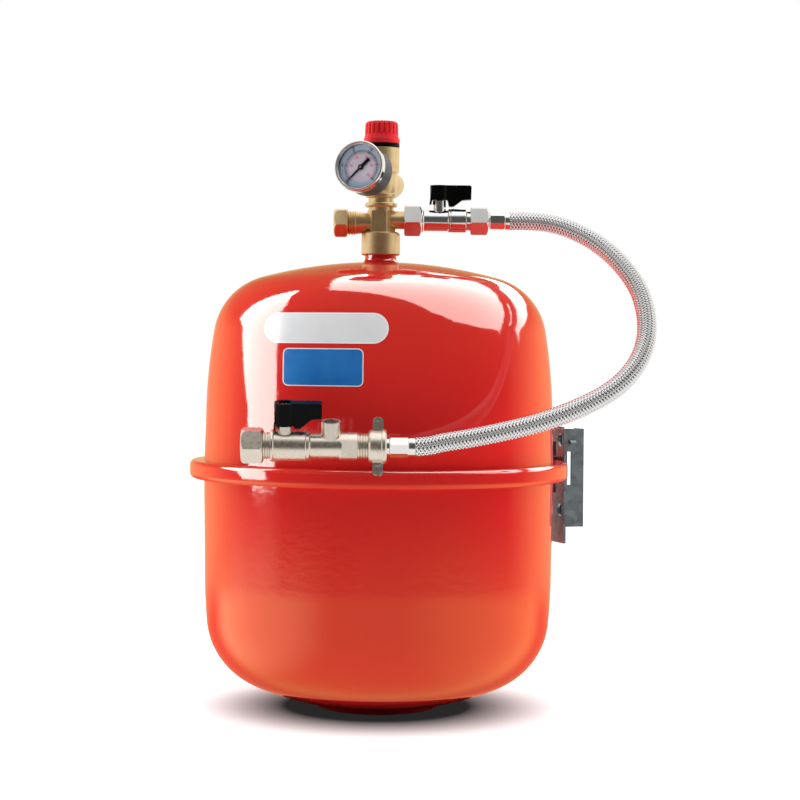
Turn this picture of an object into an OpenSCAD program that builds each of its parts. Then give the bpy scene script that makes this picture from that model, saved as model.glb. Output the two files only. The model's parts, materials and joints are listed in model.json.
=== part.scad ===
// Expansion vessel for a sealed heating system, with its filling hose, valves, gauge and safety valve.
// The origin is the centre of the standing ring, at floor level. +Z runs up the vessel's axis,
// the hose loops out round +X, and the gauge and the filling valve face -Y.

/* [Vessel] */
// Outer radius of the pressed shells
body_r = 133; // [132:0.5:134]
// Sheet thickness of the shells
wall = 1.5; // [1.2:0.1:2]
// Height of the seam above the floor
seam_z = 182; // [180:1:190]
// Height of the upper shell above the seam
upper_h = 159; // [156:1:162]
// How far the seam rim stands out past the shells
rim_w = 12; // [11.5:0.5:13]
// Height of the seam rim
rim_h = 13.5; // [13:0.5:15]
// Radius of the connection neck
neck_r = 12; // [11.5:0.1:12.2]

/* [Labels] */
// Length of the pill label
pill_len = 90; // [80:1:100]
// Height of the pill label
pill_h = 22; // [18:1:24]
// Width of the square panel under it
panel_w = 58; // [50:1:64]
// Height of the square panel
panel_h = 27; // [20:1:28]

/* [Top group] */
// Distance across the flats of the brass block
block_af = 19.5; // [18:0.5:21]
// Radius of the safety valve's body
safety_r = 13.8; // [13.8:0.1:14.5]
// Radius of the gauge's case
gauge_r = 18.6; // [18:0.1:19]
// How far the gauge is turned to the left, in degrees
gauge_left = 20; // [18:1:22]
// How far the gauge is tipped up, in degrees
gauge_up = 7.5; // [6:0.5:9]

/* [Valves and hose] */
// Radius of the 15 mm pipe sockets
socket_r = 7.55; // [7.55:0.01:7.6]
// Outside radius of the braided hose
hose_r = 7.2; // [7:0.1:7.3]
// Distance of the filling valve in front of the vessel's axis
fill_y = 156; // [156:1:158]
// Height of the filling valve's axis above the seam
fill_rise = 24.5; // [24:0.5:26]
// How far the filling valve's stem leans to the front, in degrees
fill_lean = 14; // [0:1:16]

/* [Wall bracket] */
// How far behind +X the bracket sits, in degrees
bracket_turn = 20; // [15:1:30]
// Width of the bracket's web
web_w = 50; // [48:1:60]
// Sheet thickness of the bracket
plate = 2; // [1.5:0.1:2.2]
// Depth of the bracket's legs
leg_depth = 17; // [16:1:20]
// Radius of the wall screw holes
screw_r = 3.25; // [2.5:0.05:3.5]

/* [Hidden] */
$fn = 72;
e = 0.05;                        // small overshoot that keeps cuts clean
STEEL = "lightgray";
BRASS = "goldenrod";
NICKEL = "silver";
PAINT = "orangered";
PLASTIC = "dimgray";

// Levels of the vessel and of the fittings stacked on its neck
crown_z = seam_z + upper_h;
port_z = crown_z + 32.5;
left_z = port_z - 2.3;            // the arm to the heating pipe sits a little lower
ring_z = crown_z + 42.4;
safety_z = crown_z + 45.8;
rim_r = body_r + rim_w;
bead = 3.25;                     // half the height of the diaphragm's bead
flange_w = rim_w - 2.1;

// Shell outline: wall arc, knuckle arc and crown arc, blended into each other
upper_head = [420, 37, 50, 344, upper_h];
lower_head = [460, 75, 57, 251, seam_z + 1];
foot_r = 42;                     // middle of the flat of the standing ring
foot_flat = 4;                   // width of that flat
foot_round = 5;
dish_z = 24;                     // height of the recess over the air valve
valve_hole = 6.1;                // radius of the hole for the air valve's stem

function arc(c, r, a0, a1, n) =
    [for (i = [0:n]) let (a = a0 + (a1 - a0) * i / n) c + r * [cos(a), sin(a)]];

// Outer crossing of two circles about a and b
function crossing(a, ra, b, rb) =
    let (d = norm(b - a), u = (b - a) / d, s = (ra * ra - rb * rb + d * d) / (2 * d))
    a + s * u + sqrt(ra * ra - s * s) * [-u.y, u.x];

// Half outline of a head, from the seam to the radius inner, set in by depth
function head(dims, depth, inner) =
    let (
        a = [body_r - dims[0], dims[1]],
        b = [0, dims[4] - dims[3]],
        k = crossing(a, dims[0] - dims[2], b, dims[3] - dims[2]),
        a1 = atan2(k.y - a.y, k.x - a.x),
        a2 = atan2(k.y - b.y, k.x - b.x)
    )
    concat(
        [[body_r - depth, bead]],
        arc(a, dims[0] - depth, 0, a1, 6),
        arc(k, dims[2] - depth, a1, a2, 14),
        arc(b, dims[3] - depth, a2, acos(inner / (dims[3] - depth)), 12)
    );

function reversed(list) = [for (i = [len(list) - 1:-1:0]) list[i]];

module flanged_outline(outer, inner) {
    polygon(concat(
        [[body_r + flange_w, bead], [body_r + flange_w, bead + wall], [body_r, bead + wall]],
        outer, reversed(inner)
    ));
}

// Cylinders, hexagons and threads that lie along X
nut_turn = 39;                   // how the nuts happen to be turned about their pipes
module along_x(x0) { translate([x0, 0, 0]) rotate([0, 90, 0]) children(); }
module rod(x0, x1, r) { along_x(x0) cylinder(r = r, h = x1 - x0); }
module hex(x0, x1, af) {
    along_x(x0) rotate([0, 0, nut_turn]) cylinder(r = af / 2 / cos(30), h = x1 - x0, $fn = 6);
}
// Nut with a chamfer at both ends; dome is the length of the one at x0
module nut_blank(x0, x1, af, dome = 1.6) {
    len = x1 - x0;
    full = af * 0.58;
    intersection() {
        hex(x0, x1, af);
        along_x(x0) rotate_extrude() polygon(concat(
            [[0, 0]],
            [for (a = [0:22.5:90]) [full - dome * (1 - sin(a)), dome * (1 - cos(a))]],
            [[full, len - 1.6], [af * 0.49, len], [0, len]]
        ));
    }
}
module thread(x0, x1, r, pitch = 1.8) {
    n = floor((x1 - x0) / pitch);
    step = (x1 - x0) / n;
    along_x(x0) rotate_extrude() polygon(concat(
        [[0, 0]],
        [for (i = [0:n - 1]) each [[r - 0.8, i * step], [r, (i + 0.3) * step], [r, (i + 0.7) * step]]],
        [[r - 0.8, n * step], [0, n * step]]
    ));
}

/* ---- vessel ---- */

module upper_shell() {
    color(PAINT) translate([0, 0, seam_z]) rotate_extrude()
        flanged_outline(head(upper_head, 0, neck_r + e), head(upper_head, wall, neck_r + e));
}

// Foot of the lower shell: down to the floor, across the flat, and up into the recess
function foot(depth) =
    let (far = foot_r + foot_flat / 2, near = foot_r - foot_flat / 2, z = seam_z - foot_round)
    concat(
        arc([far, z], foot_round - depth, 35, 90, 5),
        arc([near, z], foot_round - depth, 90, 180, 6),
        [[near - foot_round + depth, seam_z - dish_z - depth], [valve_hole, seam_z - dish_z - depth]]
    );
module lower_shell() {
    color(PAINT) translate([0, 0, seam_z]) mirror([0, 0, 1]) rotate_extrude()
        flanged_outline(
            concat(head(lower_head, 0, foot_r + 10), foot(0)),
            concat(head(lower_head, wall, foot_r + 10), foot(wall))
        );
}

module clamp_ring() {
    lip = bead + wall;
    round_r = 3.5;
    half = rim_h / 2;
    corner = [rim_r - round_r, half - round_r];
    upper = concat([[body_r + 0.2, half]], arc(corner, round_r, 90, 0, 6));
    lower = [for (p = reversed(upper)) [p.x, -p.y]];
    color(PAINT) translate([0, 0, seam_z]) rotate_extrude() polygon(concat(
        upper, lower,
        [[body_r + 0.2, -lip], [body_r + flange_w, -lip], [body_r + flange_w, lip], [body_r + 0.2, lip]]
    ));
}

module diaphragm() {
    edge = body_r - wall - 3;
    rise = 88;
    skin = 2;
    function dome(r, lift) = [r, lift + rise * cos(90 * r / edge)];
    steps = 16;
    color("black") translate([0, 0, seam_z]) rotate_extrude() polygon(concat(
        [[body_r + flange_w, -bead], [body_r + flange_w, bead], [body_r - wall - e, bead]],
        [for (i = [steps:-1:0]) dome(edge * i / steps, skin)],
        [for (i = [0:steps]) dome(edge * i / steps, 0)],
        [[edge, -bead]]
    ));
}

neck_bore = 9;
collar_r = 14.9;
thread_r = 13.1;

module neck_boss() {
    color(PAINT) translate([0, 0, crown_z]) difference() {
        union() {
            translate([0, 0, -6]) cylinder(r = neck_r, h = 13);
            translate([0, 0, 7]) cylinder(r = thread_r, h = 11.5);
            translate([0, 0, -6]) cylinder(r = neck_r + 4, h = 3.6);
        }
        translate([0, 0, -7]) cylinder(r = neck_bore, h = 30);
    }
}

module neck_gasket() {
    color("white") translate([0, 0, crown_z + 18.5]) difference() {
        cylinder(r = thread_r, h = 2);
        translate([0, 0, -e]) cylinder(r = neck_bore, h = 3);
    }
}

module air_valve_stem() {
    color(BRASS) difference() {
        union() {
            translate([0, 0, dish_z + wall]) cylinder(r = 11, h = 3);
            translate([0, 0, 20]) cylinder(r = 6, h = dish_z + wall - 20 + e);
            translate([0, 0, 20.4]) cylinder(r = 7.5 / cos(30), h = dish_z - 20.4, $fn = 6);
            translate([0, 0, 4.5]) cylinder(r = 3.85, h = 16);
        }
        translate([0, 0, 4]) cylinder(r = 1.6, h = 40);
    }
}

module air_valve_core() {
    color(BRASS) {
        translate([0, 0, 5.2]) cylinder(r = 0.8, h = 17);
        translate([0, 0, 18]) cylinder(r = 1.3, h = 4);
    }
}

module air_valve_cap() {
    color("black") difference() {
        union() {
            translate([0, 0, 2.5]) cylinder(r = 6.2, h = 14.5);
            for (i = [0:11]) rotate([0, 0, 30 * i]) translate([6.2, 0, 3]) cylinder(r = 0.5, h = 13);
        }
        translate([0, 0, 4.1]) cylinder(r = 4.15, h = 14);
    }
}

// Film that follows the upper shell, cut to an outline seen from the front
film = [0.02, 0.35];             // its faces' heights over the paint
module shell_skin() {
    intersection() {
        translate([0, 0, seam_z]) rotate_extrude() polygon(concat(
            head(upper_head, -film[1], neck_r + 20), reversed(head(upper_head, -film[0], neck_r + 20))
        ));
        rotate([90, 0, 0]) linear_extrude(height = body_r + 5) children();
    }
}

pill_x = -38.8;
pill_z = seam_z + 107;
panel_x = -40.5;
panel_z = seam_z + 79;

module label_pill() {
    color("white") shell_skin() {
        translate([pill_x, pill_z]) square([pill_len - pill_h, pill_h], center = true);
        for (side = [-1, 1])
            translate([pill_x + side * (pill_len - pill_h) / 2, pill_z]) circle(r = pill_h / 2);
    }
}

module label_panel() {
    corner = 4;
    color("royalblue") shell_skin() translate([panel_x, panel_z]) {
        square([panel_w - 2 * corner, panel_h], center = true);
        square([panel_w, panel_h - 2 * corner], center = true);
        for (x = [-1, 1], z = [-1, 1])
            translate([x * (panel_w / 2 - corner), z * (panel_h / 2 - corner)]) circle(r = corner);
    }
}

/* ---- manifold ---- */

arm_end = -31;                   // end of the left arm, inside its nut
left_stop = -18;                 // where the pipe stops in that arm
left_thread = 9.2;               // radius of that arm's thread
right_face = 22;                 // end of the right arm's flange

module manifold_body() {
    water_r = 6;
    color(BRASS) difference() {
        union() {
            translate([0, 0, crown_z + 5.4]) rotate_extrude() polygon([
                [0, 0], [collar_r - 0.8, 0], [collar_r, 0.8], [collar_r, 16.6], [collar_r - 2, 17.9],
                [0, 17.9]
            ]);
            translate([0, 0, crown_z + 23]) rotate([0, 0, -10])
                cylinder(r = block_af / 2 / cos(30), h = 16.5, $fn = 6);
            translate([0, 0, crown_z + 39]) cylinder(r = 9.7, h = 5);
            translate([0, 0, ring_z]) rotate_extrude() polygon([
                [0, 0], [11.7, 0], [12.4, 0.8], [12.4, 2.6], [11.7, 3.4], [0, 3.4]
            ]);
            translate([0, 0, left_z]) {
                along_x(0) mirror([0, 0, 1]) cylinder(r1 = 6.4, r2 = 8.6, h = 19.3);
                mirror([1, 0, 0]) thread(19.2, -arm_end, left_thread, 1.95);
            }
            translate([0, 0, port_z]) {
                rod(0, right_face - 2, 6.85);
                rod(right_face - 2, right_face, 9.6);
            }
        }
        translate([0, 0, crown_z + 5]) cylinder(r = thread_r + e, h = 15.5);
        translate([0, 0, crown_z]) cylinder(r = water_r, h = 60);
        translate([0, 0, left_z]) {
            rod(arm_end - e, left_stop, socket_r);
            rod(-20, 0, water_r - 1);
        }
        translate([0, 0, port_z]) rod(0, right_face + e, water_r - 1);
    }
}

// Cap nut and soft ring of a 15 mm compression joint whose body thread ends at x0.
// The nut runs from outer to inner, and its outer end is domed.
module compression_nut(x0, outer, inner, af, thread_size) {
    difference() {
        nut_blank(outer, inner, af, 3.6);
        rod(x0 - 2.4, inner + 1, thread_size + 0.1);
        rod(outer - 1, x0, socket_r + e);
    }
}
module compression_olive(x0, outer) {
    along_x(x0) mirror([0, 0, 1]) rotate_extrude() polygon([
        [socket_r + e, 0], [outer - 0.6, 0], [outer, 0.5], [outer, 1.2], [outer - 0.6, 2.2],
        [socket_r + e, 2.2]
    ]);
}

module left_nut() {
    color(BRASS) translate([0, 0, left_z]) compression_nut(arm_end, -36.4, -25.6, 20.6, left_thread);
}
module left_olive() {
    color("peru") translate([0, 0, left_z]) compression_olive(arm_end, 8.9);
}

module right_union_nut() {
    color(NICKEL) translate([0, 0, port_z]) difference() {
        nut_blank(17.9, 31, 22.8);
        rod(17, 32, 7);
        rod(right_face - 2, 32, 10.1);
    }
}

module washer(x0, outer, inner) {
    thick = 1.5;
    difference() {
        rod(x0, x0 + thick, outer);
        rod(x0 - 1, x0 + thick + 1, inner);
    }
}
module fibre_washers() {
    color("saddlebrown") {
        translate([0, 0, port_z]) {
            washer(right_face, 9.6, 5);
            washer(76.5, 7.9, 4.2);
        }
        at_fill() washer(0.2, 8.8, 5.2);
    }
}

/* ---- ball valves ---- */

// A ball with its bore, and the slot that the stem turns it by
module valve_ball(r, bore) {
    difference() {
        sphere(r = r);
        rod(-r, r, bore);
        translate([-r, -1.3, r - 1.6]) cube([2 * r, 2.6, 4]);
    }
}
module valve_stem(r, top) {
    translate([-2.6, -1.2, r - 1.5]) cube([5.2, 2.4, 2.6]);
    translate([0, 0, r + 0.5]) cylinder(r = 3, h = top - r - 0.5);
    translate([-2.1, -2.1, top - 1]) cube([4.2, 4.2, 6]);
}
module valve_seats(r, bore, reach) {
    dish = r + 0.15;
    a0 = asin(bore / dish);
    a1 = acos(0.6);
    for (side = [0, 1]) mirror([side, 0, 0]) along_x(0) rotate_extrude() polygon(concat(
        [for (i = [0:6]) let (a = a0 + (a1 - a0) * i / 6) dish * [sin(a), cos(a)]],
        [[r + 0.25, 0.6 * dish], [r + 0.25, reach], [bore, reach]]
    ));
}

// Lever: a round hub over the stem, a flat grip with a wedge under it, and a stop skirt behind.
// foot is how far the wedge's toe reaches below the top of the valve's boss.
grip_depth = 10.9;
module lever(boss_top, grip_len, height, foot) {
    top = boss_top + height;
    under = top - grip_depth;
    difference() {
        union() {
            translate([0, 0, boss_top + 0.3]) cylinder(r = 7.2, h = height - 0.3);
            rotate([90, 0, 0]) translate([0, 0, -4.6]) linear_extrude(height = 9.2) polygon([
                [-7.7, boss_top - 3], [-5.9, top - 0.6], [-5.3, top], [grip_len - 1, top],
                [grip_len, top - 1], [grip_len - 0.2, under], [grip_len - 7, under - 0.5],
                [10.9, boss_top - foot], [7.4, boss_top - foot], [6.2, boss_top + 0.3],
                [-5.6, boss_top + 0.3], [-6.1, boss_top - 3]
            ]);
        }
        translate([-2.15, -2.15, boss_top - 1]) cube([4.3, 4.3, 7]);
        translate([0, 0, boss_top + 4]) cylinder(r = 2.1, h = height);
        translate([0, 0, top - 4]) cylinder(r = 4.2, h = 5);
    }
}
module lever_screw(boss_top, height) {
    difference() {
        union() {
            translate([0, 0, boss_top + 5]) cylinder(r = 2, h = height - 8);
            translate([0, 0, boss_top + height - 4]) cylinder(r = 3.7, h = 2.4);
        }
        translate([-0.6, -4, boss_top + height - 2.6]) cube([1.2, 8, 3]);
    }
}

top_ball = 6.6;                  // hose isolating valve, on the right arm
top_stem_x = 44.9;
top_boss = 15.3;
top_lever_h = 11.8;
top_lever_len = 24.6;
module at_top_stem() { translate([top_stem_x, 0, port_z]) children(); }

module upper_valve_body() {
    color(NICKEL) difference() {
        union() {
            translate([0, 0, port_z]) {
                thread(23.5, 31.5, 9.9);
                along_x(31) rotate_extrude() polygon([
                    [0, 0], [9.2, 0], [9.2, 1.2], [8.15, 2], [8.15, 20.4], [9.2, 21], [9.2, 22.3],
                    [8.8, 22.6], [0, 22.6]
                ]);
            }
            at_top_stem() cylinder(r = 5.1, h = top_boss);
        }
        translate([0, 0, port_z]) {
            rod(22, 40, 4);
            rod(top_stem_x - 7, 54, top_ball + 0.3);
        }
        at_top_stem() cylinder(r = 3.06, h = 30);
    }
}

module upper_valve_end() {
    color(NICKEL) translate([0, 0, port_z]) difference() {
        union() {
            rod(top_stem_x + 7, 54, top_ball + 0.25);
            along_x(53.65) rotate_extrude() polygon([
                [0, 0], [9, 0], [9.2, 0.6], [9.2, 11.5], [8.6, 12.3], [0, 12.3]
            ]);
            rod(65, 69.5, 7.6);
            thread(69.2, 76.5, 8.3);
        }
        rod(50, 80, 4);
    }
}

module upper_valve_seats() {
    color("white") at_top_stem() valve_seats(top_ball, 4.1, 6.95);
}
module upper_ball() {
    color(STEEL) at_top_stem() valve_ball(top_ball, 4);
}
module upper_stem() {
    color(BRASS) at_top_stem() valve_stem(top_ball, top_boss);
}
module upper_lever() {
    color(PLASTIC) at_top_stem() lever(top_boss, top_lever_len, top_lever_h, 4.6);
}
module upper_lever_screw() {
    color(STEEL) at_top_stem() lever_screw(top_boss, top_lever_h);
}

/* ---- hose ---- */

hose_start = 99.5;               // X of the upper ferrule's face
hose_end = 25.5;                 // X of the lower ferrule's face
fill_z = seam_z + fill_rise;
module at_fill(lean = 0) { translate([0, -fill_y, fill_z]) rotate([lean, 0, 0]) children(); }

// Route of the hose's centre line between its two ferrules
hose_route = [
    [hose_start, 0, port_z], [112, -0.5, 373.5], [126, -1.5, 372.5], [139, -4.5, 369.5],
    [152, -9.5, 364], [165, -17, 356], [177, -27.5, 345], [187, -40, 331.5], [193.5, -53, 317.5],
    [196, -66.5, 303], [195.5, -79.5, 289], [191.5, -92, 275.5], [184, -103.5, 263],
    [173.5, -113.5, 252], [160.5, -122, 243], [145.5, -129, 235.5], [128, -135.5, 228.5],
    [109, -141, 222.5], [88, -146, 217.5], [66, -150, 213], [45, -153.5, 209.5], [36, -155, 207.5],
    [hose_end, -fill_y, fill_z]
];

// Tube through a list of points, its rings square to the path and turned by the vector side.
// ends gives the directions of the first and last rings where they have to meet a face.
module swept_tube(path, r, sides, side, ends = []) {
    last = len(path) - 1;
    function unit(v) = v / norm(v);
    function along(i) = unit(path[min(i + 1, last)] - path[max(i - 1, 0)]);
    function direction(i) = len(ends) == 0 || (i > 0 && i < last) ? along(i) : ends[i == 0 ? 0 : 1];
    function ring(p, t) =
        let (u = unit(cross(t, side)), w = cross(u, t))
        [for (k = [0:sides - 1]) p + r * (u * cos(360 * k / sides) + w * sin(360 * k / sides))];
    polyhedron(
        points = [for (i = [0:last]) each ring(path[i], direction(i))],
        faces = concat(
            [[for (k = [0:sides - 1]) k]],
            [for (i = [0:last - 1], k = [0:sides - 1])
                let (a = i * sides + k, b = i * sides + (k + 1) % sides) [a, a + sides, b + sides, b]],
            [[for (k = [sides - 1:-1:0]) last * sides + k]]
        ),
        convexity = 8
    );
}

module hose_braid() {
    color(STEEL) swept_tube(hose_route, hose_r, 12, [0, 0.73, -0.68], [[1, 0, 0], [-1, 0, 0]]);
}

module hose_swivel_nut() {
    color(NICKEL) translate([0, 0, port_z]) difference() {
        nut_blank(68.7, 82.5, 20.4);
        rod(68, 79.5, 8.45);
        rod(78, 83, 5.2);
    }
}

// Ferrule: an eight-sided crimp over the hose, and a round collar at its end
module ferrule(x0, crimp_end, x1, r, turn) {
    crimp = crimp_end - x0;
    collar = x1 - crimp_end;
    collar_size = 6.9;
    difference() {
        union() {
            intersection() {
                along_x(x0) rotate([0, 0, turn]) cylinder(r = r, h = crimp, $fn = 8);
                along_x(x0) rotate_extrude() polygon([
                    [0, 0], [r - 1.1, 0], [r + 0.1, 1.4], [r + 0.1, crimp - 1.2], [r - 0.9, crimp], [0, crimp]
                ]);
            }
            along_x(crimp_end - e) rotate_extrude() polygon([
                [0, 0], [collar_size - 0.3, 0], [collar_size, 0.3], [collar_size, collar - 0.5],
                [collar_size - 0.5, collar + e], [0, collar + e]
            ]);
        }
        rod(x0 - 1, x1 + 1, 5.05);
    }
}
// Nipple: a flange held by the nut and a tube that runs to the ferrule's end
module nipple(x0, x1, flange, flange_r, bore) {
    difference() {
        union() {
            rod(x0, x1, 5);
            rod(x0, x0 + flange, flange_r);
        }
        rod(x0 - 1, x1 + 1, bore);
    }
}

module hose_tail_upper() {
    color(NICKEL) translate([0, 0, port_z]) nipple(78, hose_start, 1.5, 7.9, 3.6);
}
module hose_ferrule_upper() {
    color(NICKEL) translate([0, 0, port_z]) ferrule(83.2, 95.7, hose_start, 7.4, 14);
}
module hose_tail_lower() {
    color(NICKEL) at_fill() {
        nipple(1.7, hose_end, 1.5, 8.8, 3.6);
        difference() {
            rod(3, 7, 6.25);
            rod(2, 8, 4);
        }
    }
}
module hose_ferrule_lower() {
    color(NICKEL) at_fill() ferrule(7, 20.7, hose_end, 7.9, 36);
}

/* ---- filling valve: ball valve, two check valves and a test port in one body ---- */

fill_ball = 6.9;
fill_stem_x = -65.6;
fill_boss = 15;
fill_lever_h = 16.5;
fill_lever_len = 26;
fill_socket = -90;               // end of the valve's pipe thread
check_r = 6.6;                   // bore that holds the check cartridges
test_x = -33.3;
test_r = 5;
check_x = [-49, -26];
check_len = 9;
module at_fill_stem() { at_fill(fill_lean) translate([fill_stem_x, 0, 0]) children(); }

module lower_valve_body() {
    flats = 15;
    color(NICKEL) difference() {
        union() {
            at_fill(fill_lean) {
                thread(fill_socket, -75.3, 9.4);
                along_x(-75.5) rotate_extrude() polygon([
                    [0, 0], [10.7, 0], [11.2, 0.5], [11.2, 1.8], [10.5, 2.5], [10.5, 24.4], [9.9, 25],
                    [9.9, 26.8], [8.7, 28], [8.7, 49.7], [0, 49.7]
                ]);
                intersection() {
                    rod(-27.7, -14.9, 9.65);
                    translate([-28, -flats / 2, -10]) cube([14, flats, 20]);
                }
                thread(-15, 0, 9);
                translate([test_x, 0, 0]) cylinder(r = 6.95, h = 18);
            }
            at_fill_stem() cylinder(r = 5.3, h = fill_boss);
        }
        at_fill(fill_lean) {
            rod(fill_socket - 1, -77, socket_r);
            rod(-80, -10, 5);
            rod(fill_stem_x - 7.4, fill_stem_x + 7.4, fill_ball + 0.3);
            rod(check_x[0], 1, check_r);
            translate([test_x, 0, 0]) cylinder(r = 3, h = 30);
            translate([test_x, 0, 9]) cylinder(r = test_r, h = 30);
        }
        at_fill_stem() cylinder(r = 3.06, h = 30);
    }
}

module lower_valve_seats() {
    color("white") at_fill_stem() valve_seats(fill_ball, 5, 7.4);
}
module lower_ball() {
    color(STEEL) at_fill_stem() valve_ball(fill_ball, 4.6);
}
module lower_stem() {
    color(BRASS) at_fill_stem() valve_stem(fill_ball, fill_boss);
}
module lower_lever() {
    color(PLASTIC) at_fill_stem() lever(fill_boss, fill_lever_len, fill_lever_h, 1.5);
}
module lower_lever_screw() {
    color(STEEL) at_fill_stem() lever_screw(fill_boss, fill_lever_h);
}
module lower_nut() {
    color(NICKEL) at_fill() compression_nut(fill_socket, -96, -80.6, 23, 9.4);
}
module lower_olive() {
    color("peru") at_fill() compression_olive(fill_socket, 9);
}

module check_cartridges() {
    guide = 1.3;
    color("white") at_fill() for (x = check_x) translate([x, 0, 0]) {
        difference() {
            rod(0, check_len, check_r - e);
            rod(1, check_len + 1, 5.2);
            rod(-1, 2, 3.6);
        }
        difference() {
            union() {
                rod(check_len - guide, check_len, 2);
                for (a = [0:120:240]) rotate([a, 0, 0])
                    translate([check_len - guide, -0.6, 1]) cube([guide, 1.2, 4.5]);
            }
            rod(0, check_len + 1, 0.86);
        }
    }
}
module check_poppet(x) {
    color("black") at_fill() {
        rod(x + 1.3, x + 2.3, 4.6);
        rod(x + 2.3, x + 8.6, 0.8);
    }
}
module check_spring(x) {
    turns = 2;
    steps = 12 * turns;
    coil = [for (i = [0:steps])
        let (a = 360 * turns * i / steps) [x + 2.6 + 2 * i / steps, 2.2 * cos(a), 2.2 * sin(a)]];
    color(STEEL) at_fill() swept_tube(coil, 0.25, 6, [1, 0, 0]);
}

module wing_nut() {
    wing_tip = 20.4;
    wing_x = -4.4;
    wing_w = 7.3;
    corner = 2.9;
    thick = 6;
    mid = wing_x + wing_w / 2;
    color(NICKEL) at_fill() difference() {
        union() {
            along_x(-7.3) rotate_extrude() polygon([
                [0, 0], [10.3, 0], [11.5, 1.4], [11.5, 9], [12.2, 9.6], [12.2, 11.6], [11.2, 12.7], [0, 12.7]
            ]);
            for (side = [0, 1]) mirror([0, 0, side]) rotate([90, 0, 0])
                translate([0, 0, -thick / 2]) linear_extrude(height = thick) {
                    translate([wing_x, 9]) square([wing_w, wing_tip - corner - 9]);
                    translate([wing_x + corner, 12]) square([wing_w - 2 * corner, wing_tip - 12]);
                    for (x = [wing_x + corner, wing_x + wing_w - corner])
                        translate([x, wing_tip - corner]) circle(r = corner);
                }
        }
        for (side = [-1, 1], face = [-1, 1]) translate([mid, face * thick / 2, side * 15.6])
            rotate([90, 0, 0]) cylinder(r = 2.3, h = 1.6, center = true);
        rod(-8, 2.2, 9.3);
        rod(-8, 3.5, 9.1);
        rod(0, 6, 6.55);
    }
}

/* ---- safety valve ---- */

seat_z = safety_z + 11;
chamber_top = crown_z + 86;
body_top = crown_z + 88.5;
outlet_z = crown_z + 61;
outlet_r = 7.5;
outlet_len = 26;
module outlet_axis() { translate([0, 0, outlet_z]) rotate([0, 0, 90 - gauge_left]) children(); }

module safety_body() {
    step = crown_z + 68.7;
    color(BRASS) difference() {
        union() {
            translate([0, 0, safety_z]) rotate_extrude() polygon([
                [0, 0], [9.7, 0], [9.7, 3.4], [12, 4.4], [12, 6.4], [11.2, 7.2], [11.8, 9.5], [11.8, 20],
                [0, 20]
            ]);
            translate([0, 0, safety_z + 12]) rotate_extrude() polygon([
                [0, 0], [11.8, 0], [11.8, 10], [safety_r, 11.6], [safety_r, body_top - safety_z - 12.6],
                [safety_r - 0.6, body_top - safety_z - 12], [0, body_top - safety_z - 12]
            ]);
            translate([0, 0, body_top - 1]) cylinder(r = 9, h = 7.5);
            outlet_axis() along_x(4) cylinder(r = 9.5, h = outlet_len - 4);
            gauge_boss();
        }
        translate([0, 0, safety_z - 1]) cylinder(r = 5.5, h = 14);
        translate([0, 0, seat_z]) cylinder(r = 10, h = chamber_top - seat_z);
        translate([0, 0, body_top - 5]) cylinder(r = 2.56, h = 20);
        outlet_axis() {
            rod(6, outlet_len, 5.5);
            rod(outlet_len - 14, outlet_len + 1, outlet_r);
        }
        at_gauge() translate([0, 0, -50]) cylinder(r = 4.9, h = 18);
    }
}

// Boss on the safety valve that the gauge's stem screws into
module gauge_boss() {
    intersection() {
        at_gauge() translate([0, 0, -46]) cylinder(r = 8, h = 14);
        translate([-30, -30, safety_z]) cube([60, 32, 60]);
    }
}

module safety_collar() {
    color("black") translate([0, 0, body_top + 0.1]) difference() {
        cylinder(r = safety_r + 0.1, h = 2.5);
        translate([0, 0, -1]) cylinder(r = 11.2, h = 5);
    }
}

cap_z = body_top + 2.9;
cap_h = 17.1;
module safety_cap() {
    flutes = 20;
    grip_r = 12.6;
    color("red") difference() {
        translate([0, 0, cap_z]) rotate_extrude() polygon(concat(
            [[0, 0], [13.9, 0], [13.9, 3.4], [grip_r + 0.2, 6]],
            arc([grip_r - 3, cap_h - 3], 3, 0, 90, 6), [[0, cap_h]]
        ));
        for (i = [0:flutes - 1]) rotate([0, 0, 360 * i / flutes])
            translate([grip_r + 0.45, 0, cap_z + 6.4]) cylinder(r = 0.85, h = cap_h);
        translate([0, 0, cap_z - 1]) difference() {
            cylinder(r = 11.2, h = cap_h - 1.2);
            translate([0, 0, 5]) cylinder(r = 6, h = cap_h);
        }
        translate([0, 0, cap_z - 1]) cylinder(r = 4, h = cap_h - 1.2);
    }
}

module safety_spindle() {
    color(BRASS) {
        translate([0, 0, seat_z + 2.5]) cylinder(r = 8.4, h = 2);
        translate([0, 0, seat_z + 4]) cylinder(r = 2.5, h = cap_z + 11 - seat_z - 4);
        translate([0, 0, cap_z + 8]) cylinder(r = 3.5, h = 3);
    }
}
module safety_disc() {
    color("black") translate([0, 0, seat_z + 0.1]) cylinder(r = 7.6, h = 2.4);
}
module safety_spring() {
    turns = 5;
    steps = 14 * turns;
    low = seat_z + 5.6;
    rise = chamber_top - 1.1 - low;
    coil = [for (i = [0:steps])
        let (a = 360 * turns * i / steps) [6 * cos(a), 6 * sin(a), low + rise * i / steps]];
    color(STEEL) swept_tube(coil, 1, 6, [0, 0, 1]);
}

/* ---- gauge, in a frame with +Z out of its face ---- */

module at_gauge() {
    translate([-17.4, -45, crown_z + 70.6]) rotate([90 - gauge_up, 0, -gauge_left]) children();
}

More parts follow.
